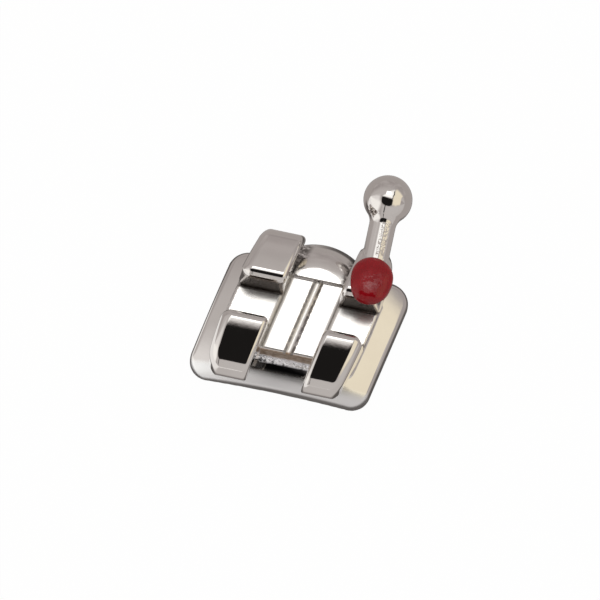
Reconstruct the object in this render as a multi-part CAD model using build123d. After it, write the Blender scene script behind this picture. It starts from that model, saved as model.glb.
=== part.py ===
from build123d import *
import math
import os

# One-piece twin bracket for a premolar, in millimetres. X runs along the archwire slot, +Y towards the gum
# and +Z away from the tooth. The origin is the middle of the pad, on the plane that its side edges rest on.

# Plan of the bracket
long_axis_lean = 10.8  # degrees from square to the slot, so that the pad is a rhomboid
pad_width = 2.98
pad_height = 2.19
pad_corner_r = 0.33
pad_flange = 0.32  # shows on each side of the body at the slot
tip_taper = 0.10  # each side has drawn in by this much at the wing tips
tip_corner_r = 0.48
tip_corner_overrun = 0.12  # the rounded corner runs out this far past the tip

# Pad
tooth_r = 6.0  # concave bonding face
pad_thickness = 0.50  # at its centre
pad_crown_r = 3.8  # pillow-shaped outer face
pad_edge_r = 0.14
pad_roll_gap = 0.01  # from the body's foot to where the face rolls off towards the biting edge
pad_roll_bluntness = 1.65  # radius of that roll over its width
pocket_size = 0.20
pocket_rib = 0.12
pocket_depth = 0.07
pocket_margin = 0.14

# Archwire slot, for a 0.022 by 0.028 inch wire
wire_height = 0.559
wire_depth = 0.711
wire_clearance = 0.02
slot_floor_z = 1.20

# Tie wings and the stem that carries them
tip_drop = 0.309  # that a wing's face falls from the slot to its tip
face_crown = 13.0  # degrees that the crowned face is flatter at the slot and steeper at the tip
crest_r = 0.15
gum_reach = 1.24  # from the middle of the slot to the wing tips on the gum's side
bite_reach = 1.29  # and on the biting side
nose_r = 0.34
tip_thickness = 0.42
tip_under_r = 0.14
underside_rise = 0.06
stem_half = 0.645
undercut_r = 0.12
side_edge_r = 0.14
foot_r = 0.14

# Channel between the left and right wings, with its marking groove
channel_half_width = 0.45
channel_offset = 0.045  # of its middle, towards the wing with the hook
channel_drop = 0.07  # below the slot floor
channel_edge_r = 0.04
scribe_r = 0.10
scribe_depth = 0.035

# Rounded boss that closes the channel on the gum's side
boss_start = 0.63
boss_reach = 1.36
boss_rise = 0.06  # above the channel floor
boss_r = 1.00
boss_round = 0.58
boss_foot_inset = 0.27
boss_offset = 0.035  # from the middle of the channel

# Ball hook on one of the wings on the gum's side
ball_d = 0.79
post_d = 0.43
neck_r = 0.22
ball_overhang = 0.822  # from the wing tip to the middle of the ball
hook_offset = 0.085  # of the post from the middle of the wing tip, towards the channel
hook_tilt = 5.5  # degrees that the post rises away from the tooth
root_depth = 0.52  # how far the post reaches back from the tip inside the wing
root_sink = 0.32  # how deep its end lies under the wing's face

# Drop of coloured enamel on the wing with the hook
mark_offset = 0.04  # from the middle of the wing, outwards
mark_slot_gap = 0.01
mark_tip_gap = 0.20  # left clear at the wing tip
mark_half_width = 0.345
mark_thickness = 0.12
mark_crown_r = 0.70
mark_edge_gap = 0.005  # kept from the sides of the wing

# Lengths that only have to pass through the bracket, and the tolerance for telling faces apart
reach_out = 4.0
sink = 0.30
level = 0.01

body_half_width = pad_width / 2 - pad_flange
wing_u = (channel_offset + channel_half_width + body_half_width) / 2
slot_half = (wire_height + wire_clearance) / 2
mark_half_height = (gum_reach - mark_tip_gap - slot_half - mark_slot_gap) / 2
crest_z = slot_floor_z + wire_depth
channel_floor_z = slot_floor_z - channel_drop
pad_roll_start = stem_half + foot_r + pad_roll_gap
lean_run = math.tan(math.radians(long_axis_lean))
pad_half_chord = pad_width / 2 * math.cos(math.radians(long_axis_lean))
bonding_crown_z = tooth_r - math.sqrt(tooth_r**2 - pad_half_chord**2)
pad_top_z = bonding_crown_z + pad_thickness


def plan(u, v):
    """Plan point u along the slot and v along the leaning long axis."""
    return (u + v * lean_run, v)


def crown_radius(reach):
    """Radius of the crowned face of a wing of that reach."""
    chord = math.hypot(reach - slot_half, tip_drop)
    return chord / (2 * math.sin(math.radians(face_crown)))


def wing_face_z(y):
    """Height of a wing's crowned face on the gum's side."""
    slope = tip_drop / (gum_reach - slot_half)
    crown = (y - slot_half) * (gum_reach - y) * (1 + slope**2)**1.5 / (2 * crown_radius(gum_reach))
    return crest_z - (y - slot_half) * slope + crown


def prism(points, bottom, top, corner_r=0):
    """Upright block on a leaning plan outline."""
    outline = make_face(Polyline(*[plan(u, v) for u, v in points], close=True))
    if corner_r:
        outline = fillet(outline.vertices(), corner_r)
    return extrude(Pos(0, 0, bottom) * outline, amount=top - bottom)


def channel_block(half_u, start_v, end_v, bottom, top):
    """Upright block on the middle of the channel."""
    left = channel_offset - half_u
    right = channel_offset + half_u
    return prism([(left, start_v), (right, start_v), (right, end_v), (left, end_v)], bottom, top)


def long_axis_cylinder(radius, x, axis_z):
    """Cylinder lying along the tooth's long axis."""
    lying = Rot(0, 0, -long_axis_lean) * Rot(90, 0, 0) * Cylinder(radius, reach_out)
    return Pos(x, 0, axis_z) * lying


def retention_pockets():
    """Square pockets of one depth in the bonding face, in rows along the slot and the long axis."""
    pitch = pocket_size + pocket_rib
    columns = int((pad_width - 2 * pocket_margin + pocket_rib) / pitch)
    rows = int((pad_height - 2 * pocket_margin + pocket_rib) / pitch)
    half = pocket_size / 2
    blocks = []
    for column in range(columns):
        for row in range(rows):
            u = (column - (columns - 1) / 2) * pitch
            v = (row - (rows - 1) / 2) * pitch
            corners = [(u - half, v - half), (u + half, v - half), (u + half, v + half), (u - half, v + half)]
            blocks.append(prism(corners, -sink, pad_top_z))
    return (Part() + blocks) & long_axis_cylinder(tooth_r + pocket_depth, 0, bonding_crown_z - tooth_r)


def pad_crown():
    """Barrel turned about a line along the tooth: its skin is the pad's face, rolled off at the biting edge."""
    roll_r = pad_roll_bluntness * (pad_height / 2 - pad_roll_start)
    crest = (0, -pad_crown_r)
    gum_end = (pad_height, -math.sqrt(pad_crown_r**2 - pad_height**2))
    roll_top = (-pad_roll_start, -math.sqrt(pad_crown_r**2 - pad_roll_start**2))
    shrink = 1 - roll_r / pad_crown_r
    roll_end = (roll_top[0] * shrink - roll_r, roll_top[1] * shrink)
    face = ThreePointArc(gum_end, crest, roll_top)
    roll = TangentArc(roll_top, roll_end, tangent=face % 1)
    section = make_face([face, roll, Polyline(roll_end, (roll_end[0], 0), (gum_end[0], 0), gum_end)])
    return Pos(0, 0, pad_top_z - pad_crown_r) * revolve(Plane.YZ * section, Axis.Y)


def make_pad():
    """Pad with a pillow-shaped outer face, a concave bonding face and a waffle of retention pockets."""
    half_u = pad_width / 2
    half_v = pad_height / 2
    outline = [(-half_u, -half_v), (half_u, -half_v), (half_u, half_v), (-half_u, half_v)]
    pad = prism(outline, -sink, pad_top_z + sink, pad_corner_r)
    pad = pad & pad_crown()
    crown = [face for face in pad.faces() if face.geom_type in (GeomType.SPHERE, GeomType.TORUS)]
    pad = fillet(rim_above(crown, -sink), pad_edge_r)
    pad = pad - long_axis_cylinder(tooth_r, 0, bonding_crown_z - tooth_r)
    return pad - retention_pockets()


def wing_profile():
    """Side view of slot, wings, undercuts and stem, in Y and Z."""
    tip_z = crest_z - tip_drop
    under_z = tip_z - tip_thickness
    lines = []
    rounds = []
    ends = []
    for side, reach in ((1, gum_reach), (-1, bite_reach)):
        floor = (side * slot_half, slot_floor_z)
        crest = (side * slot_half, crest_z)
        nose = (side * reach, tip_z)
        under = (side * reach, under_z)
        undercut = (side * stem_half, under_z + underside_rise)
        foot = (side * stem_half, sink)
        crown = RadiusArc(crest, nose, side * crown_radius(reach))
        lines += [Line(floor, crest), crown, Polyline(nose, under, undercut, foot)]
        rounds += [(crest, crest_r), (nose, nose_r), (under, tip_under_r), (undercut, undercut_r)]
        ends.append((floor, foot))
    lines += [Line(ends[0][0], ends[1][0]), Line(ends[0][1], ends[1][1])]
    face = make_face(lines)
    for (y, z), radius in rounds:
        face = fillet(face.vertices().sort_by_distance((y, z, 0))[0], radius)
    return face


def body_outline():
    """Plan of the body: bowed sides with rounded corners at the wing tips."""
    side_u = body_half_width - tip_taper
    gum_end = gum_reach + tip_corner_overrun
    bite_end = -bite_reach - tip_corner_overrun
    right = ThreePointArc(plan(side_u, bite_end), plan(body_half_width, 0), plan(side_u, gum_end))
    left = ThreePointArc(plan(-side_u, gum_end), plan(-body_half_width, 0), plan(-side_u, bite_end))
    outline = make_face([right, Line(right @ 1, left @ 0), left, Line(left @ 1, right @ 0)])
    return fillet(outline.vertices(), tip_corner_r)


def rim_above(faces, height):
    """Edges round patches of neighbouring faces, above a height and without the seams inside a patch."""
    edges = [edge for face in faces for edge in face.edges()]
    rim = [edge for edge in edges if sum(edge.is_same(other) for other in edges) == 1]
    return ShapeList([edge for edge in rim if edge.center().Z > height])


def make_body():
    """Stem and four wings cut from one bar, with the channel between left and right."""
    bar = extrude(Plane.YZ * wing_profile(), amount=reach_out / 2, both=True)
    bar = bar & extrude(body_outline(), amount=reach_out)
    sides = [face for face in bar.faces().filter_by(GeomType.CYLINDER) if abs(face.normal_at().Z) < level]
    bar = fillet(rim_above(sides, sink + level), side_edge_r)
    bar = bar - channel_block(channel_half_width, -reach_out, reach_out, channel_floor_z, reach_out)
    walls = [face for face in bar.faces().filter_by(GeomType.PLANE)
             if abs(face.normal_at().X) > abs(face.normal_at().Y) + abs(face.normal_at().Z)]
    return fillet(rim_above(walls, channel_floor_z + level), channel_edge_r)


def make_boss():
    """Rounded boss between the wings on the gum's side, narrowing to its foot on the pad."""
    top_z = channel_floor_z + boss_rise
    foot_radius = boss_r - boss_foot_inset
    crown = TangentArc((boss_r - boss_round, top_z), (boss_r, top_z - boss_round), tangent=(1, 0))
    half_section = make_face([Line((0, sink), (0, top_z)), Line((0, top_z), crown @ 0), crown,
                              Line(crown @ 1, (foot_radius, sink)), Line((foot_radius, sink), (0, sink))])
    centre = plan(channel_offset + boss_offset, boss_reach - boss_r)
    turned = Pos(*centre, 0) * revolve(Plane.XZ * half_section, Axis.Z)
    return turned & channel_block(channel_half_width + channel_edge_r, boss_start, reach_out, 0, reach_out)


def make_scribe():
    """Round-bottomed marking groove down the middle of the channel, up to the boss."""
    cutter = long_axis_cylinder(scribe_r, channel_offset, channel_floor_z + scribe_r - scribe_depth)
    return cutter & channel_block(channel_half_width, -reach_out, boss_start, 0, reach_out)


def make_hook():
    """Ball on a round post with a faired neck, turned about the post's axis."""
    tilt_run = math.tan(math.radians(hook_tilt))
    tip_x, tip_y = plan(wing_u, gum_reach)
    root_y = tip_y - root_depth
    root = Vector(tip_x - hook_offset, root_y, wing_face_z(root_y) - root_sink)
    run = root_depth + ball_overhang
    along = Vector(0, run, run * tilt_run)
    post_r = post_d / 2
    ball_r = ball_d / 2
    neck_start = along.length - math.sqrt((ball_r + neck_r)**2 - (post_r + neck_r)**2)
    share = ball_r / (ball_r + neck_r)
    neck_end = (share * (post_r + neck_r), along.length + share * (neck_start - along.length))
    neck = TangentArc((post_r, neck_start), neck_end, tangent=(0, 1))
    ball = TangentArc(neck_end, (0, along.length + ball_r), tangent=neck % 1)
    half_section = make_face([Line((0, 0), (post_r, 0)), Line((post_r, 0), neck @ 0), neck, ball,
                              Line(ball @ 1, (0, 0))])
    return Plane(origin=root, z_dir=along) * revolve(Plane.XZ * half_section, Axis.Z)


def make_bracket():
    """The whole moulded piece."""
    bracket = make_body() + make_pad()
    crown = bracket.faces().filter_by(GeomType.SPHERE).sort_by(SortBy.AREA)[-1]
    bracket = fillet(crown.inner_wires()[0].edges(), foot_r)
    bracket = bracket - make_scribe()
    return bracket + make_boss() + make_hook()


def make_mark(bracket):
    """Domed drop of enamel lying on the face of the wing that carries the hook."""
    x, y = plan(wing_u + mark_offset, slot_half + mark_slot_gap + mark_half_height)
    slope = math.atan2(tip_drop, gum_reach - slot_half)
    lie = Plane(origin=(x, y, wing_face_z(y)), x_dir=(1, 0, 0), z_dir=(0, math.sin(slope), math.cos(slope)))
    drop = Pos(x, y, slot_floor_z + sink) * extrude(Ellipse(mark_half_width, mark_half_height), amount=reach_out)
    drop = drop & extrude(offset(body_outline(), -mark_edge_gap), amount=reach_out)
    drop = drop & (lie * Pos(0, 0, mark_thickness - mark_crown_r) * Sphere(mark_crown_r))
    return drop - bracket


bracket_body = make_bracket()
colour_mark = make_mark(bracket_body)

os.makedirs("parts", exist_ok=True)
export_step(bracket_body, "parts/bracket_body.step")
export_step(colour_mark, "parts/colour_mark.step")
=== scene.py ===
import math

import bmesh
import bpy
import numpy as np
from mathutils import Matrix, Vector


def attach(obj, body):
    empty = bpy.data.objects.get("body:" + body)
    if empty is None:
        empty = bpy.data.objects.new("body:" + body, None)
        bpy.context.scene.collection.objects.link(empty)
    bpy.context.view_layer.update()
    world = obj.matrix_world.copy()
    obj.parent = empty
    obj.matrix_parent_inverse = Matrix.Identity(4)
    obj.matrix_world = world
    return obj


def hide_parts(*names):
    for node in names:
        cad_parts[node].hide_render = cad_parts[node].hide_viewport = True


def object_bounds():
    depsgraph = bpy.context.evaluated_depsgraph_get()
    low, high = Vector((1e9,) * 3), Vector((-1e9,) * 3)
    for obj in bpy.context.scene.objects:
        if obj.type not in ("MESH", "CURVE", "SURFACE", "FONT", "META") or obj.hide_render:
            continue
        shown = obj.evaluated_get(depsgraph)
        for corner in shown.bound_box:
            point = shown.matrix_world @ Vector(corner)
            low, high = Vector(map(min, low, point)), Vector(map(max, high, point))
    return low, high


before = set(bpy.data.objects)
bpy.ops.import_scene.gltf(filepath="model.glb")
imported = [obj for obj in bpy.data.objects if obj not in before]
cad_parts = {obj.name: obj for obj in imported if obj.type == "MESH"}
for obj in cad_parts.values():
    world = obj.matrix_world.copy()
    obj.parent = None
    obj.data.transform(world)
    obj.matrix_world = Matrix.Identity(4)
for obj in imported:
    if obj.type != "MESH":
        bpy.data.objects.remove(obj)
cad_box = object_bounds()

# Orthodontic bracket: one polished steel casting and a drop of red enamel on its hooked wing.
# The scene is in metres and +Z points away from the tooth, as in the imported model.
# The sizes below are in millimetres, and so are the forms and the places in the materials.

MM = 0.001

# View: looking down on the bracket from the biting side
VIEW_ELEVATION = math.radians(75.0)
VIEW_YAW = math.radians(1.5)
SLOT_TURN = math.radians(11.86)  # the slot runs down to the right by this much in the picture
PICTURE_PX = 600
PX_PER_MM = 62.0
LENS_MM = 1000.0
SENSOR_MM = 36.0
PAD_MIDDLE_MM = (0.0, 0.0, 0.15)
PAD_MIDDLE_PX = (299.1, 332.1)

# Pad
LEAN = math.radians(10.8)  # of the long axis, from square to the slot
PAD_WIDTH = 2.98
PAD_HEIGHT = 2.19
PAD_CORNER_R = 0.33
PAD_TOP_Z = 0.68125
PAD_CROWN_R = 3.8
PAD_EDGE_R = 0.14
ROLL_START = 0.795  # from here the face rolls off towards the biting edge
ROLL_R = 0.495
TOOTH_R = 6.0  # concave bonding face
BONDING_CROWN_Z = 0.18125
BONDING_EDGE_R = 0.02
BONDING_RIM = 0.11  # plain rim of the bonding face, outside its pockets
BONDING_MOST_Z = 0.3  # what looks down above this is not the bonding face

# Slot, wings and stem
SLOT_HALF = 0.2895
SLOT_FLOOR_Z = 1.20
SLOT_CORNER_R = 0.004
SLOT_SIDE_R = 0.05
CREST_Z = 1.911
CREST_R = 0.15
TIP_DROP = 0.309
FACE_CROWN = math.radians(13.0)
GUM_REACH = 1.24
BITE_REACH = 1.29
NOSE_R = 0.34
TIP_THICKNESS = 0.42
TIP_UNDER_R = 0.14
TIP_TAPER = 0.10
TIP_OVERRUN = 0.12  # the rounded corner runs out this far past the tip
TIP_CORNER_R = 0.48
UNDERSIDE_RISE = 0.06
UNDERCUT_R = 0.12
BODY_HALF_WIDTH = 1.17
WING_SIDE_R = 0.18
WING_INNER_R = 0.09
WING_ROUND_START_Z = 1.30  # the rounds widen from here up the wing
WING_ROUND_RUN = 0.3
STEM_HALF = 0.645
STEM_DRAFT = 0.105
STEM_DRAFT_MOST = 0.068
STEM_DRAFT_TOP_Z = 1.16
FOOT_R = 0.09

# Channel, scribed line and boss
CHANNEL_HALF_WIDTH = 0.45
CHANNEL_OFFSET = 0.045
CHANNEL_FLOOR_Z = 1.13
CHANNEL_CORNER_R = 0.015
STEP_EDGE_R = 0.035
SCRIBE_R = 0.10
SCRIBE_DEPTH = 0.035
SCRIBE_EDGE_R = 0.012
BOSS_START = 0.63
BOSS_R = 1.00
BOSS_ROUND = 0.58
BOSS_TOP_Z = 1.19
BOSS_EDGE_R = 0.012
BOSS_FOOT_INSET = 0.27
BOSS_FOOT_Z = 0.30
BOSS_FOOT_R = 0.02
BOSS_CENTRE = (0.1487, 0.36)

# Hook
HOOK_ROOT = (0.98404, 0.72, 1.5096)
HOOK_ROOT_R = 0.03
HOOK_TILT = math.radians(5.5)
HOOK_RUN = 1.342
POST_R = 0.215
BALL_R = 0.395
NECK_R = 0.22

# Drop of enamel on the hooked wing
DROP_MIDDLE = (1.0, 0.635, 1.83)
DROP_HALF = (0.338, 0.402, 0.16)
DROP_TILT = math.radians(8.0)
DROP_SQUARENESS = 2.2  # of its outline: 2 is an ellipse
DROP_GAP = 0.002  # to the metal, so that the two skins do not touch
DROP_SAG_START = 0.36  # towards the slot, the drop sags from here
DROP_SAG = 3.0
DROP_SEAT_MOST = 0.15

# Skin of the casting
SKIN_VOXEL = 0.022
SKIN_SMOOTHING = 8
SKIN_REACH = 0.12  # the skin settles on the true faces only where it is nearer than this
SKIN_FACING = 0.2  # and faces the same way to at least this cosine
SKIN_BOX_MARGIN = 0.0005
SHADE_REACH = 0.002
SHADE_FACING = 0.6
CREASE_SHADE_REACH = 0.05
CREASE_SHADE_LEAST_Z = 0.25

UP = np.array((0.0, 0.0, 1.0))


def look_at_bracket():
    """Long-lens camera that frames the bracket as a catalogue picture does."""
    elevation, yaw = VIEW_ELEVATION, VIEW_YAW
    back = Vector((math.sin(yaw), -math.cos(elevation) * math.cos(yaw), math.sin(elevation) * math.cos(yaw)))
    up = Vector((0, 1, 0)) - back * back.y
    up.normalize()
    right = up.cross(back)
    roll = SLOT_TURN + math.atan2(up.x, right.x)
    picture_right = right * math.cos(roll) + up * math.sin(roll)
    picture_up = up * math.cos(roll) - right * math.sin(roll)

    across = (PICTURE_PX / 2 - PAD_MIDDLE_PX[0]) / PX_PER_MM
    above = (PAD_MIDDLE_PX[1] - PICTURE_PX / 2) / PX_PER_MM
    target = (Vector(PAD_MIDDLE_MM) + picture_right * across + picture_up * above) * MM
    distance = LENS_MM * PICTURE_PX / (SENSOR_MM * PX_PER_MM) * MM

    data = bpy.data.cameras.new("catalogue_view")
    data.lens = LENS_MM
    data.sensor_width = SENSOR_MM
    data.clip_start = 0.01
    data.clip_end = 10.0
    camera = bpy.data.objects.new("catalogue_view", data)
    bpy.context.scene.collection.objects.link(camera)
    turn = Matrix((picture_right, picture_up, back)).transposed()
    camera.matrix_world = Matrix.Translation(target + back * distance) @ turn.to_4x4()
    bpy.context.scene.camera = camera


# Nodes


def fill(tree, socket, value):
    """Link a socket to another one, or set it to a constant."""
    if isinstance(value, bpy.types.NodeSocket):
        tree.links.new(value, socket)
    else:
        socket.default_value = value


def add_node(tree, kind, settings=None, **sockets):
    """New node with its settings and its input sockets; i0, i1 are sockets by number."""
    node = tree.nodes.new(kind)
    for name, value in (settings or {}).items():
        setattr(node, name, value)
    for name, value in sockets.items():
        by_number = name[0] == "i" and name[1:].isdigit()
        fill(tree, node.inputs[int(name[1:])] if by_number else node.inputs[name.replace("_", " ")], value)
    return node


def maths(tree, operation, first, second=0.0):
    return add_node(tree, "ShaderNodeMath", {"operation": operation}, i0=first, i1=second).outputs[0]


def times(tree, *factors):
    """Product of several masks."""
    product = factors[0]
    for factor in factors[1:]:
        product = maths(tree, "MULTIPLY", product, factor)
    return product


def ramp(tree, value, start, end, low=0.0, high=1.0):
    """Soft step from low to high as the value goes from start to end."""
    return add_node(tree, "ShaderNodeMapRange", {"interpolation_type": "SMOOTHSTEP"}, Value=value,
                    From_Min=start, From_Max=end, To_Min=low, To_Max=high).outputs[0]


def between(tree, value, low, high, soft):
    """1 where the value lies between low and high, with soft ends."""
    rise = ramp(tree, value, low - soft, low + soft)
    fall = ramp(tree, value, high - soft, high + soft, 1.0, 0.0)
    return times(tree, rise, fall)


def from_band(tree, value, middle, half_width):
    """How far the value lies outside a band, negative inside."""
    return maths(tree, "SUBTRACT", maths(tree, "ABSOLUTE", maths(tree, "SUBTRACT", value, middle)), half_width)


def cubed_share(tree, value, middle, half_width):
    """Cube of the distance from the middle, 1 at half the width."""
    share = maths(tree, "DIVIDE", maths(tree, "SUBTRACT", value, middle), half_width)
    return maths(tree, "POWER", maths(tree, "ABSOLUTE", share), 3.0)


def noise(tree, place, scale, detail, roughness):
    return add_node(tree, "ShaderNodeTexNoise", Vector=place, Scale=scale, Detail=detail,
                    Roughness=roughness).outputs[0]


def blend_colour(tree, share, under, over):
    mix = tree.nodes.new("ShaderNodeMix")
    mix.data_type = "RGBA"
    for number, value in ((0, share), (6, under), (7, over)):
        fill(tree, mix.inputs[number], value)
    return mix.outputs[2]


def paint_over(tree, colour, coats):
    """Colour with several coats over it, each with its share."""
    for share, coat in coats:
        colour = blend_colour(tree, share, colour, coat)
    return colour


def in_millimetres(tree):
    """Place on the bracket in millimetres, as a vector and as its three parts."""
    place = add_node(tree, "ShaderNodeTexCoord").outputs["Object"]
    scaled = add_node(tree, "ShaderNodeMapping", {"vector_type": "POINT"}, Vector=place,
                      Scale=(1 / MM, 1 / MM, 1 / MM)).outputs[0]
    return scaled, add_node(tree, "ShaderNodeSeparateXYZ", Vector=scaled).outputs


# Studio


def light_tent():
    """Grey cloth tent round the bracket, with white panels, a cream one and the dark opening for the lens."""
    world = bpy.data.worlds.new("light_tent")
    world.use_nodes = True
    tree = world.node_tree
    tree.nodes.clear()
    direction = add_node(tree, "ShaderNodeTexCoord").outputs["Generated"]
    parts = add_node(tree, "ShaderNodeSeparateXYZ", Vector=direction).outputs
    folds = noise(tree, direction, 2.6, 3.0, 0.5)
    ripple = maths(tree, "MULTIPLY", maths(tree, "SUBTRACT", folds, 0.5), 14.0)

    # Degrees from straight up, towards the gum and towards the right
    height = maths(tree, "DEGREES", maths(tree, "ARCTAN2", parts["Y"], parts["Z"]))
    side = maths(tree, "DEGREES", maths(tree, "ARCSINE", parts["X"]))
    wavy_height = maths(tree, "ADD", height, ripple)
    wavy_side = maths(tree, "ADD", side, ripple)

    # Folded cloth, with a soft glow above the overhead panel
    wall = blend_colour(tree, ramp(tree, folds, 0.3, 0.7), (0.37, 0.335, 0.325, 1), (0.48, 0.44, 0.428, 1))
    glow = blend_colour(tree, ramp(tree, wavy_height, 66, 22), wall, (0.55, 0.515, 0.50, 1))
    wall = blend_colour(tree, ramp(tree, height, -2, 8), wall, glow)

    low_right = times(tree, ramp(tree, height, -34, -52), ramp(tree, wavy_side, -30, -8))
    far_left = times(tree, ramp(tree, wavy_height, 14, -10), ramp(tree, side, -28, -46))
    low_left = times(tree, ramp(tree, wavy_height, -16, -42), ramp(tree, side, -20, -36))
    right_panel = times(tree, between(tree, wavy_height, -40, 46, 9), between(tree, wavy_side, 25, 64, 4))

    # The left edge of the overhead panel leans, and a dark seam runs along its right edge
    left_edge = maths(tree, "SUBTRACT", side, maths(tree, "MULTIPLY", height, 1.1))
    overhead = times(tree, ramp(tree, height, -7, 1), ramp(tree, wavy_height, 62, 15),
                     ramp(tree, left_edge, -32, -18), ramp(tree, side, 23, 20))
    lamp_face = times(tree, between(tree, height, 11, 24, 3), between(tree, side, -10, 9, 3))
    seam = times(tree, between(tree, height, -6, 34, 3), between(tree, wavy_side, 21.5, 25, 1.2))

    # The opening has rounded corners and a slit below it
    tilted = maths(tree, "ADD", height, maths(tree, "MULTIPLY", side, 0.12))
    rounded = maths(tree, "ADD", cubed_share(tree, side, -1.5, 27.0), cubed_share(tree, tilted, -20.0, 24.0))
    opening = times(tree, ramp(tree, rounded, 1.2, 0.75), ramp(tree, tilted, -3, -9))
    slit = times(tree, between(tree, height, -82, -40, 4), between(tree, side, -8, -4, 2))

    colour = paint_over(tree, wall, (
        (low_right, (0.58, 0.55, 0.535, 1)),
        (far_left, (0.86, 0.83, 0.81, 1)),
        (low_left, (1.08, 1.06, 1.02, 1)),
        (right_panel, (0.95, 0.86, 0.68, 1)),
        (overhead, (1.22, 1.21, 1.18, 1)),
        (lamp_face, (2.9, 2.88, 2.83, 1)),
        (seam, (0.03, 0.028, 0.025, 1)),
        (opening, (0.012, 0.011, 0.0105, 1)),
        (slit, (0.015, 0.014, 0.013, 1)),
    ))
    path = add_node(tree, "ShaderNodeLightPath").outputs
    seen = blend_colour(tree, path["Is Camera Ray"], colour, (1, 1, 1, 1))
    background = add_node(tree, "ShaderNodeBackground", Color=seen, Strength=1.0)
    output = add_node(tree, "ShaderNodeOutputWorld")
    tree.links.new(background.outputs[0], output.inputs["Surface"])
    bpy.context.scene.world = world


def pale_floor():
    """White sweep that keeps the bracket's contact shadow and shows grey in the metal."""
    material = bpy.data.materials.new("pale_floor")
    material.use_nodes = True
    tree = material.node_tree
    tree.nodes.clear()
    path = add_node(tree, "ShaderNodeLightPath").outputs
    in_metal = maths(tree, "MAXIMUM", path["Is Glossy Ray"], path["Is Transmission Ray"])
    parts = in_millimetres(tree)[1]
    x, y = parts["X"], parts["Y"]

    # In the metal: paler in front, a white card on the left and shade close to the pad and the hook
    in_front = ramp(tree, y, -1.2, -2.6)
    card = times(tree, ramp(tree, x, -1.3, -2.2), ramp(tree, y, 1.3, 0.2))
    from_pad = maths(tree, "MAXIMUM", from_band(tree, x, 0.0, 1.55), from_band(tree, y, 0.0, 1.15))
    from_hook = maths(tree, "MAXIMUM", from_band(tree, x, HOOK_ROOT[0], 0.35), from_band(tree, y, 1.9, 0.55))
    close = ramp(tree, maths(tree, "MINIMUM", from_pad, from_hook), 1.0, 0.1)
    grey = paint_over(tree, (0.42, 0.385, 0.37, 1), (
        (in_front, (0.56, 0.53, 0.515, 1)),
        (card, (0.95, 0.93, 0.91, 1)),
        (close, (0.105, 0.095, 0.09, 1)),
    ))

    surface = add_node(tree, "ShaderNodeBsdfDiffuse", Color=(0.9, 0.9, 0.9, 1))
    seen = blend_colour(tree, in_metal, (1, 1, 1, 1), grey)
    glow = add_node(tree, "ShaderNodeEmission", Color=seen, Strength=1.0)
    share = maths(tree, "MAXIMUM", maths(tree, "MULTIPLY", path["Is Camera Ray"], 0.98), in_metal)
    mix = add_node(tree, "ShaderNodeMixShader", i0=share, i1=surface.outputs[0], i2=glow.outputs[0])
    output = add_node(tree, "ShaderNodeOutputMaterial")
    tree.links.new(mix.outputs[0], output.inputs["Surface"])

    bm = bmesh.new()
    bmesh.ops.create_circle(bm, cap_ends=True, segments=64, radius=1.0)
    mesh = bpy.data.meshes.new("floor")
    bm.to_mesh(mesh)
    bm.free()
    mesh.materials.append(material)
    floor = bpy.data.objects.new("floor", mesh)
    bpy.context.scene.collection.objects.link(floor)


def soft_lamp():
    """Large overhead softbox for the shadow and the enamel."""
    data = bpy.data.lights.new("overhead_softbox", "AREA")
    data.shape = "DISK"
    data.size = 0.25
    data.energy = 0.2
    lamp = bpy.data.objects.new("overhead_softbox", data)
    lamp.location = (-0.05, 0.08, 0.3)
    lamp.rotation_euler = (-lamp.location).to_track_quat("-Z", "Y").to_euler()
    lamp.visible_glossy = False
    bpy.context.scene.collection.objects.link(lamp)


# Materials


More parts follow.
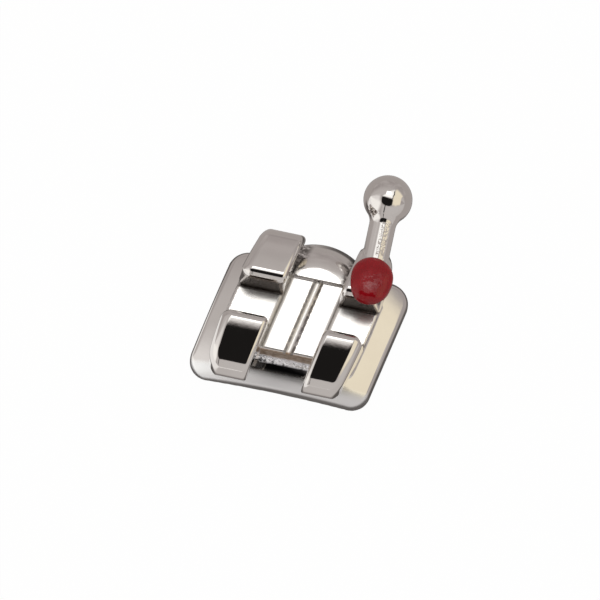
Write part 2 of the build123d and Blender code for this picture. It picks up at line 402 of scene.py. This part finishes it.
def polished_steel():
    """Electropolished casting: bright faces, satin in the slot and raw at the channel's biting end."""
    material = bpy.data.materials.new("polished_steel")
    material.use_nodes = True
    tree = material.node_tree
    shader = tree.nodes["Principled BSDF"]
    place, parts = in_millimetres(tree)
    x, y, z = parts["X"], parts["Y"], parts["Z"]
    along_slot = maths(tree, "SUBTRACT", x, maths(tree, "MULTIPLY", y, math.tan(LEAN)))
    across = maths(tree, "SUBTRACT", along_slot, CHANNEL_OFFSET)
    from_middle = maths(tree, "ABSOLUTE", across)
    from_slot = maths(tree, "ABSOLUTE", y)

    cloudy = noise(tree, place, 1.7, 4.0, 0.6)
    fine = noise(tree, place, 14.0, 3.0, 0.6)
    grain = noise(tree, place, 38.0, 4.0, 0.7)

    # Slot: satin floor, with painted shade on its walls and darker painted shade in its corners, on both sides of
    # the channel
    beside_channel = ramp(tree, from_middle, 0.44, 0.47)
    in_slot = times(tree, between(tree, y, -0.30, 0.30, 0.02), ramp(tree, z, 1.08, 1.14), ramp(tree, z, 1.86, 1.80))
    slot_wall_shade = times(tree, between(tree, from_slot, 0.284, 0.30, 0.004), between(tree, z, 1.21, 1.77, 0.03),
                      beside_channel)
    slot_corner_shade = times(tree, ramp(tree, from_slot, 0.235, 0.275), between(tree, z, 1.18, 1.25, 0.02),
                        beside_channel)

    # Channel: satin floor and steps, and blotchy painted shade on the scribe's two flanks, lighter on the left
    in_channel = times(tree, ramp(tree, from_middle, 0.49, 0.46), between(tree, y, -0.64, 0.63, 0.01),
                       between(tree, z, 1.04, 1.25, 0.02))
    on_step = times(tree, between(tree, from_middle, 0.40, 0.50, 0.015), between(tree, z, 1.10, 1.25, 0.01))
    in_scribe = times(tree, ramp(tree, from_middle, 0.10, 0.085), between(tree, z, 1.05, 1.127, 0.002))
    blotchy = times(tree, between(tree, z, 1.05, 1.14, 0.005), ramp(tree, y, 0.62, 0.61),
                    ramp(tree, fine, 0.36, 0.54, 0.15, 1.0))
    scribe_left_shade = times(tree, between(tree, across, -0.083, -0.040, 0.012), blotchy)
    scribe_right_shade = times(tree, between(tree, across, 0.036, 0.083, 0.012), blotchy)

    # Biting end of the channel: brown above, then bright flecks, then painted shade at the foot, and the pad's
    # rolled edge below
    in_mouth = ramp(tree, from_middle, 0.47, 0.44)
    ragged = maths(tree, "ADD", z, maths(tree, "MULTIPLY", maths(tree, "SUBTRACT", fine, 0.5), 0.35))
    raw_height = times(tree, ramp(tree, ragged, 0.70, 0.77), ramp(tree, z, 1.125, 1.09))
    raw_end = times(tree, between(tree, y, -0.70, -0.62, 0.02), raw_height, in_mouth)
    flecked = times(tree, between(tree, y, -0.72, -0.62, 0.02), between(tree, ragged, 0.58, 0.72, 0.03), in_mouth)
    foot_shade = times(tree, between(tree, y, -0.83, -0.655, 0.03), ramp(tree, z, 0.74, 0.70), in_mouth)
    rolled_edge = times(tree, ramp(tree, y, -0.80, -0.90), ramp(tree, z, 0.75, 0.68))

    # Boss with painted shade on its flanks next to the wings, and a speckled strip along the hook's post
    on_boss = times(tree, ramp(tree, from_middle, 0.48, 0.46), between(tree, y, 0.64, 1.5, 0.01),
                    between(tree, z, 0.5, 1.25, 0.02))
    boss_flank_shade = times(tree, ramp(tree, from_middle, 0.27, 0.40), ramp(tree, fine, 0.38, 0.56), on_boss)
    post_strip = times(tree, between(tree, y, 1.12, 1.62, 0.05), between(tree, x, 0.985, 1.10, 0.02))

    roughness = ramp(tree, cloudy, 0.3, 0.75, 0.025, 0.07)
    for mask, added in (
        (maths(tree, "MAXIMUM", in_slot, in_channel), 0.22),
        (raw_end, 0.33),
        (rolled_edge, 0.3),
        (on_boss, 0.06),
        (maths(tree, "MAXIMUM", scribe_left_shade, on_step), 0.3),
        (in_scribe, 0.08),
    ):
        roughness = maths(tree, "ADD", roughness, maths(tree, "MULTIPLY", mask, added))
    tree.links.new(roughness, shader.inputs["Roughness"])

    bright = blend_colour(tree, ramp(tree, cloudy, 0.3, 0.7), (0.79, 0.765, 0.745, 1), (0.82, 0.80, 0.78, 1))
    brown_tint = blend_colour(tree, ramp(tree, fine, 0.35, 0.65), (0.46, 0.31, 0.19, 1), (0.72, 0.58, 0.46, 1))
    crease_shade = add_node(tree, "ShaderNodeAttribute", {"attribute_name": "crease_shade"}).outputs["Fac"]
    colour = paint_over(tree, bright, (
        (raw_end, brown_tint),
        # painted shade in the slot's corners and on its walls
        (times(tree, slot_corner_shade, 0.85), (0.10, 0.085, 0.075, 1)),
        (slot_wall_shade, (0.34, 0.30, 0.275, 1)),
        # painted shade at the foot of the channel's biting end
        (times(tree, foot_shade, 0.9), (0.07, 0.072, 0.08, 1)),
        (rolled_edge, (0.93, 0.94, 0.95, 1)),
        (flecked, (0.95, 0.95, 0.97, 1)),
        # painted shade on the boss's flanks, in the corners by the wings
        (times(tree, boss_flank_shade, 0.85), (0.10, 0.088, 0.082, 1)),
        # painted shade on the scribe's two flanks, lighter on the left one
        (scribe_left_shade, (0.52, 0.51, 0.51, 1)),
        (scribe_right_shade, (0.30, 0.285, 0.285, 1)),
        # painted shade in the inner corners, darker where they are deeper
        (ramp(tree, crease_shade, 0.15, 0.9, 0.0, 0.85), (0.06, 0.052, 0.048, 1)),
    ))
    tree.links.new(colour, shader.inputs["Base Color"])
    shader.inputs["Metallic"].default_value = 1.0

    ripple = maths(tree, "MULTIPLY", fine, 0.35)
    pits = maths(tree, "MULTIPLY", grain, maths(tree, "ADD", maths(tree, "MULTIPLY", raw_end, 2.2), 0.05))
    chips = times(tree, fine, maths(tree, "MULTIPLY", flecked, 40.0))
    specks = times(tree, ramp(tree, grain, 0.52, 0.62), maths(tree, "MULTIPLY", post_strip, 9.0))
    relief = maths(tree, "ADD", pits, maths(tree, "ADD", chips, specks))
    bump = add_node(tree, "ShaderNodeBump", Strength=1.0, Distance=0.0012 * MM,
                    Height=maths(tree, "ADD", ripple, relief))
    tree.links.new(bump.outputs[0], shader.inputs["Normal"])
    return material


def red_enamel():
    """Brushed-on signal enamel: deep red with a soft shine and slightly cloudy colour."""
    material = bpy.data.materials.new("red_enamel")
    material.use_nodes = True
    tree = material.node_tree
    shader = tree.nodes["Principled BSDF"]
    place = in_millimetres(tree)[0]
    cloudy = noise(tree, place, 5.0, 3.0, 0.55)
    tint = blend_colour(tree, ramp(tree, cloudy, 0.3, 0.7), (0.225, 0.002, 0.006, 1), (0.275, 0.005, 0.010, 1))
    tree.links.new(tint, shader.inputs["Base Color"])
    dimple = noise(tree, place, 9.0, 2.0, 0.5)
    tree.links.new(ramp(tree, dimple, 0.3, 0.7, 0.10, 0.24), shader.inputs["Roughness"])
    shader.inputs["Specular IOR Level"].default_value = 0.42
    bump = add_node(tree, "ShaderNodeBump", Strength=1.0, Distance=0.012 * MM, Height=dimple)
    tree.links.new(bump.outputs[0], shader.inputs["Normal"])
    return material


# Forms. Each is a pair: how far every point lies outside the faces, negative inside, and the outward direction.


def length_of(vectors):
    """Length of each vector, never quite zero."""
    return np.maximum(np.linalg.norm(vectors, axis=1), 1e-9)


def pick(test, first, second):
    return np.where(test, first[0], second[0]), np.where(test[:, None], first[1], second[1])


def flip(form):
    return -form[0], -form[1]


def shared(first, second):
    return pick(first[0] > second[0], first, second)


def round_cut(first, second, radius):
    """What two forms share, with a round of this radius along the edge between them."""
    turn = np.clip((first[1] * second[1]).sum(axis=1), -0.95, 0.95)
    over_first, over_second = first[0] + radius, second[0] + radius
    part_first = (over_first - turn * over_second) / (1 - turn**2)
    part_second = (over_second - turn * over_first) / (1 - turn**2)
    out = part_first[:, None] * first[1] + part_second[:, None] * second[1]
    length = length_of(out)
    arc = length - radius, out / length[:, None]
    return pick((part_first > 0) & (part_second > 0), arc, shared(first, second))


def round_join(first, second, radius):
    """Two forms in one, with the inner corner between them filled to this radius."""
    return flip(round_cut(flip(first), flip(second), radius))


def flat(place, facing, out):
    """Flat face that looks along a unit direction and lies this far out."""
    facing = np.asarray(facing, dtype=float)
    return place @ facing - out, np.broadcast_to(facing, place.shape)


def bar(place, axis, centre, radius):
    """Round bar along one of the axes."""
    out = place - centre
    out[:, axis] = 0
    length = length_of(out)
    return length - radius, out / length[:, None]


def leaning_sides(place, middle, half_width):
    """Space between two upright planes that lean with the pad's long axis."""
    across = place[:, 0] - place[:, 1] * math.tan(LEAN) - middle
    hand = np.where(across < 0, -1.0, 1.0)
    outward = np.array((math.cos(LEAN), -math.sin(LEAN), 0))
    return (np.abs(across) - half_width) * math.cos(LEAN), hand[:, None] * outward


def leaning_hollow(place, middle, axis_z, radius):
    """Space outside a level bar that leans with the pad's long axis."""
    across, outward = leaning_sides(place, middle, 0)
    out = across[:, None] * outward + (place[:, 2] - axis_z)[:, None] * UP
    length = length_of(out)
    return radius - length, -out / length[:, None]


def two_ends(place, gum_end, bite_end):
    """Space between two upright planes along the slot."""
    return pick(place[:, 1] > 0, flat(place, (0, 1, 0), gum_end), flat(place, (0, -1, 0), bite_end))


def circle_through(a, b, c):
    """Centre and radius of the circle through three plan points."""
    a, b, c = np.array(a), np.array(b), np.array(c)
    centre = np.linalg.solve(2 * np.array((b - a, c - a)), np.array((b @ b - a @ a, c @ c - a @ a)))
    return centre, math.hypot(*(centre - a))


def wing_section(place):
    """Side view of slot, wings, undercuts and stem."""
    hand = np.where(place[:, 1] < 0, -1.0, 1.0)
    folded = place.copy()
    folded[:, 1] *= hand
    far, z = folded[:, 1], folded[:, 2]
    nil = np.zeros_like(far)
    reach = np.where(hand > 0, GUM_REACH, BITE_REACH)

    # Crowned face from the slot's edge to the tip, and the nose that rounds it off
    run = reach - SLOT_HALF
    chord = np.hypot(run, TIP_DROP)
    radius = chord / (2 * math.sin(FACE_CROWN))
    back = radius * math.cos(FACE_CROWN) / chord
    centre_y = (SLOT_HALF + reach) / 2 - back * TIP_DROP
    centre_z = CREST_Z - TIP_DROP / 2 - back * run
    face = bar(folded, 0, np.stack((nil, centre_y, centre_z), axis=1), radius)
    tip = flat(folded, (0, 1, 0), reach)
    nose_y = reach - NOSE_R
    nose_z = centre_z + np.sqrt((radius - NOSE_R)**2 - (nose_y - centre_y)**2)
    nose = bar(folded, 0, np.stack((nil, nose_y, nose_z), axis=1), NOSE_R)
    on_nose = (z > nose_z) & ((far - nose_y) * (nose_z - centre_z) > (z - nose_z) * (nose_y - centre_y))
    wing = pick(on_nose, nose, shared(face, tip))

    slot_floor, slot_wall_shade = flat(folded, (0, 0, 1), SLOT_FLOOR_Z), flat(folded, (0, -1, 0), -SLOT_HALF)
    slot = round_join(slot_floor, slot_wall_shade, SLOT_CORNER_R)
    slope = UNDERSIDE_RISE / (reach - STEM_HALF)
    steep = np.sqrt(1 + slope**2)
    under_z = CREST_Z - TIP_DROP - TIP_THICKNESS + slope * (reach - far)
    underside = (under_z - z) / steep, np.stack((nil, -slope, nil - 1), axis=1) / steep[:, None]
    undercut = round_join(flat(folded, (0, 1, 0), STEM_HALF), underside, UNDERCUT_R)
    distance, outward = round_cut(round_cut(wing, slot, CREST_R), undercut, TIP_UNDER_R)
    return distance, outward * np.stack((nil + 1, hand, nil + 1), axis=1)


def body_plan(place):
    """Bowed sides and rounded tips of the body, seen from above."""
    run = math.tan(LEAN)
    gum_end = GUM_REACH + TIP_OVERRUN
    bite_end = BITE_REACH + TIP_OVERRUN
    tip_u = BODY_HALF_WIDTH - TIP_TAPER
    ends = two_ends(place, gum_end, bite_end)
    sides = []
    for hand in (1, -1):
        bite_corner = (hand * tip_u - bite_end * run, -bite_end)
        gum_corner = (hand * tip_u + gum_end * run, gum_end)
        centre, radius = circle_through(bite_corner, (hand * BODY_HALF_WIDTH, 0), gum_corner)
        sides.append(round_cut(bar(place, 2, (*centre, 0), radius), ends, TIP_CORNER_R))
    return shared(*sides)


def pad_plan(place):
    """Outline of the pad, seen from above."""
    ends = two_ends(place, PAD_HEIGHT / 2, PAD_HEIGHT / 2)
    return round_cut(leaning_sides(place, 0, PAD_WIDTH / 2), ends, PAD_CORNER_R)


def pad_form(place):
    """Pillow-shaped pad with its rolled biting edge and its concave bonding face, without the pockets."""
    x, y, z = place.T
    up = z - PAD_TOP_Z + PAD_CROWN_R
    rise = np.hypot(x, up)
    out = np.hypot(rise, y)
    pillow = out - PAD_CROWN_R, np.stack((x, y, up), axis=1) / out[:, None]

    top_rise = math.sqrt(PAD_CROWN_R**2 - ROLL_START**2)
    shrink = 1 - ROLL_R / PAD_CROWN_R
    roll_rise, roll_y = rise - top_rise * shrink, y + ROLL_START * shrink
    roll_out = np.stack((roll_rise * x / rise, roll_y, roll_rise * up / rise), axis=1)
    roll_length = length_of(roll_out)
    roll = roll_length - ROLL_R, roll_out / roll_length[:, None]

    crown = pick(y * top_rise < -ROLL_START * rise, roll, pillow)
    pad = round_cut(crown, pad_plan(place), PAD_EDGE_R)
    bonding = leaning_hollow(place, 0, BONDING_CROWN_Z - TOOTH_R, TOOTH_R)
    return round_cut(pad, bonding, BONDING_EDGE_R)


def boss_form(place):
    """Rounded boss between the wings on the gum's side."""
    shoulder_z = BOSS_TOP_Z - BOSS_ROUND
    fall = shoulder_z - BOSS_FOOT_Z
    steep = math.hypot(fall, BOSS_FOOT_INSET)
    wall = bar(place, 2, (*BOSS_CENTRE, 0), BOSS_R)
    taper = ((wall[0] * fall - (place[:, 2] - shoulder_z) * BOSS_FOOT_INSET) / steep,
             (wall[1] * fall - BOSS_FOOT_INSET * UP) / steep)
    boss = round_cut(flat(place, UP, BOSS_TOP_Z), shared(wall, taper), BOSS_ROUND)
    boss = round_cut(boss, flat(place, (0, -1, 0), -BOSS_START), BOSS_EDGE_R)
    return shared(boss, leaning_sides(place, CHANNEL_OFFSET, CHANNEL_HALF_WIDTH + STEP_EDGE_R))


def hook_form(place):
    """Ball on its post, with a hollow neck."""
    along = np.array((0, math.cos(HOOK_TILT), math.sin(HOOK_TILT)))
    length = HOOK_RUN / math.cos(HOOK_TILT)
    from_root = place - np.array(HOOK_ROOT)
    run = from_root @ along
    away = from_root - run[:, None] * along
    out = length_of(away)
    away = away / out[:, None]
    post_ends = shared(flat(from_root, -along, 0), flat(from_root, along, length))
    post = shared((out - POST_R, away), post_ends)
    from_ball = from_root - length * along
    ball_out = length_of(from_ball)
    ball = ball_out - BALL_R, from_ball / ball_out[:, None]

    neck_out = POST_R + NECK_R
    neck_run = length - math.sqrt((BALL_R + NECK_R)**2 - neck_out**2)
    past, beside = run - neck_run, out - neck_out
    hollow = past[:, None] * along + beside[:, None] * away
    depth = length_of(hollow)
    neck = NECK_R - depth, -hollow / depth[:, None]
    on_neck = (past > 0) & ((length - neck_run) * beside + neck_out * past < 0)
    return pick(on_neck, neck, flip(shared(flip(post), flip(ball))))


def casting_form(place):
    """Faces of the casting, without the pockets of the bonding face."""
    z = place[:, 2]
    up_wing = np.clip((z - WING_ROUND_START_Z) / WING_ROUND_RUN, 0, 1)
    plan = body_plan(place)
    draft = np.clip((STEM_DRAFT_TOP_Z - z) * STEM_DRAFT, 0, STEM_DRAFT_MOST)
    sides = plan[0] + draft, plan[1]
    body = round_cut(wing_section(place), sides, SLOT_SIDE_R + (WING_SIDE_R - SLOT_SIDE_R) * up_wing)

    walls = flip(leaning_sides(place, CHANNEL_OFFSET, CHANNEL_HALF_WIDTH))
    channel = round_join(flat(place, UP, CHANNEL_FLOOR_Z), walls, CHANNEL_CORNER_R)
    body = round_cut(body, channel, STEP_EDGE_R + (WING_INNER_R - STEP_EDGE_R) * up_wing)
    scribe = leaning_hollow(place, CHANNEL_OFFSET, CHANNEL_FLOOR_Z + SCRIBE_R - SCRIBE_DEPTH, SCRIBE_R)
    body = pick(place[:, 1] < BOSS_START, round_cut(body, scribe, SCRIBE_EDGE_R), body)

    casting = round_join(body, pad_form(place), FOOT_R)
    casting = round_join(casting, boss_form(place), BOSS_FOOT_R)
    return round_join(casting, hook_form(place), HOOK_ROOT_R)


# Skins


def points_of(skin):
    points = np.empty(len(skin.vertices) * 3)
    skin.vertices.foreach_get("co", points)
    return points.reshape(-1, 3)


def facing_of(skin):
    facing = np.empty(len(skin.vertices) * 3)
    skin.vertex_normals.foreach_get("vector", facing)
    return facing.reshape(-1, 3)


def skin_over(node, name):
    """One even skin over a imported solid, in millimetres."""
    bm = bmesh.new()
    bm.from_mesh(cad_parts[node].data)
    bmesh.ops.remove_doubles(bm, verts=bm.verts, dist=1e-8)
    bmesh.ops.scale(bm, vec=(1 / MM,) * 3, verts=bm.verts)
    mesh = bpy.data.meshes.new(name + "_rough")
    bm.to_mesh(mesh)
    bm.free()
    rough = bpy.data.objects.new(name + "_rough", mesh)
    bpy.context.scene.collection.objects.link(rough)
    remesh = rough.modifiers.new("even_skin", "REMESH")
    remesh.mode = "VOXEL"
    remesh.voxel_size = SKIN_VOXEL
    smooth = rough.modifiers.new("polish", "SMOOTH")
    smooth.factor = 0.5
    smooth.iterations = SKIN_SMOOTHING
    skin = bpy.data.meshes.new_from_object(rough.evaluated_get(bpy.context.evaluated_depsgraph_get()))
    bpy.data.objects.remove(rough)
    bpy.data.meshes.remove(mesh)
    skin.name = name
    return skin


def settle_on_faces(place, facing):
    """Draw points that lie near the true faces onto them, not those among the bonding face's pockets."""
    for _ in range(4):
        distance, outward = casting_form(place)
        near = (np.abs(distance) < SKIN_REACH) & ((outward * facing).sum(axis=1) > SKIN_FACING)
        near &= (outward[:, 2] > -0.3) | (place[:, 2] > BONDING_MOST_Z) | (pad_plan(place)[0] > -BONDING_RIM)
        place = place - np.where(near, distance, 0.0)[:, None] * outward
    return place


def mark_crease_shade(skin, place):
    """Note on each point how deep it lies in an inner corner, for the painted shade there."""
    outward = casting_form(place)[1]
    clear = casting_form(place + CREASE_SHADE_REACH * outward)[0]
    across = np.abs(place[:, 0] - place[:, 1] * math.tan(LEAN) - CHANNEL_OFFSET)
    on_boss = (place[:, 1] > BOSS_START + 0.08) & (across < CHANNEL_HALF_WIDTH - 0.04)
    depth = np.clip(1 - clear / CREASE_SHADE_REACH, 0, 1) * (place[:, 2] > CREASE_SHADE_LEAST_Z) * ~on_boss
    crease_shade = skin.attributes.new("crease_shade", "FLOAT", "POINT")
    crease_shade.data.foreach_set("value", depth.astype(np.float32))


def shade_as_faces(skin, place):
    """Shade the skin by the direction of the true faces, so that reflections run clean along the rounds."""
    facing = facing_of(skin)
    distance, outward = casting_form(place)
    on_face = (np.abs(distance) < SHADE_REACH) & ((outward * facing).sum(axis=1) > SHADE_FACING)
    skin.normals_split_custom_set_from_vertices(np.where(on_face[:, None], outward, facing))


def enamel_skin():
    """Thick drop of enamel on the hooked wing, from a sphere that is flattened and seated on the metal."""
    bm = bmesh.new()
    bmesh.ops.create_uvsphere(bm, u_segments=96, v_segments=64, radius=1.0)
    skin = bpy.data.meshes.new("enamel_drop")
    bm.to_mesh(skin)
    bm.free()
    ball = points_of(skin)
    around = np.arctan2(ball[:, 1], ball[:, 0])
    outline = (np.abs(np.cos(around))**DROP_SQUARENESS + np.abs(np.sin(around))**DROP_SQUARENESS)
    outline = outline**(-1 / DROP_SQUARENESS)
    outline *= 1 + 0.018 * np.sin(3 * around + 0.6) + 0.012 * np.sin(5 * around)
    wide = np.hypot(ball[:, 0], ball[:, 1])**0.8 * outline
    tall = np.sign(ball[:, 2]) * np.abs(ball[:, 2])**0.95
    parts = np.stack((wide * np.cos(around), wide * np.sin(around), tall), axis=1) * np.array(DROP_HALF)
    level, climb = math.cos(DROP_TILT), math.sin(DROP_TILT)
    place = np.array(DROP_MIDDLE) + parts @ np.array(((1, 0, 0), (0, level, -climb), (0, climb, level)))
    place[:, 2] -= DROP_SAG * np.maximum(DROP_SAG_START - place[:, 1], 0)**2

    # Lift what lies in the metal, then lower the underside onto it
    for _ in range(6):
        distance, outward = casting_form(place)
        place[:, 2] += np.where(outward[:, 2] > 0.3, np.maximum(DROP_GAP - distance, 0), 0)
    under = np.clip(-4 * ball[:, 2], 0, 1) * (place[:, 1] > DROP_SAG_START)
    for _ in range(4):
        distance, outward = casting_form(place)
        lower = np.clip(distance - DROP_GAP, 0, DROP_SEAT_MOST)
        place[:, 2] -= under * np.where(outward[:, 2] > 0.3, lower, 0)
    skin.vertices.foreach_set("co", place.ravel())
    skin.update()
    return skin


def finish_piece(skin, material, node):
    """Skin in millimetres made a piece of the bracket, in metres."""
    skin.transform(Matrix.Scale(MM, 4))
    skin.shade_smooth()
    skin.materials.append(material)
    piece = bpy.data.objects.new(skin.name, skin)
    bpy.context.scene.collection.objects.link(piece)
    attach(piece, "root")
    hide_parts(node)


bpy.context.scene.view_settings.view_transform = "Standard"
look_at_bracket()
light_tent()
pale_floor()
soft_lamp()

casting_skin = skin_over("bracket_body", "polished_casting")
settled = settle_on_faces(points_of(casting_skin), facing_of(casting_skin))
box_low, box_high = (np.array(corner) / MM for corner in cad_box)
settled = np.clip(settled, box_low + SKIN_BOX_MARGIN, box_high - SKIN_BOX_MARGIN)
casting_skin.vertices.foreach_set("co", settled.ravel())
mark_crease_shade(casting_skin, settled)
finish_piece(casting_skin, polished_steel(), "bracket_body")
shade_as_faces(casting_skin, settled)
finish_piece(enamel_skin(), red_enamel(), "colour_mark")
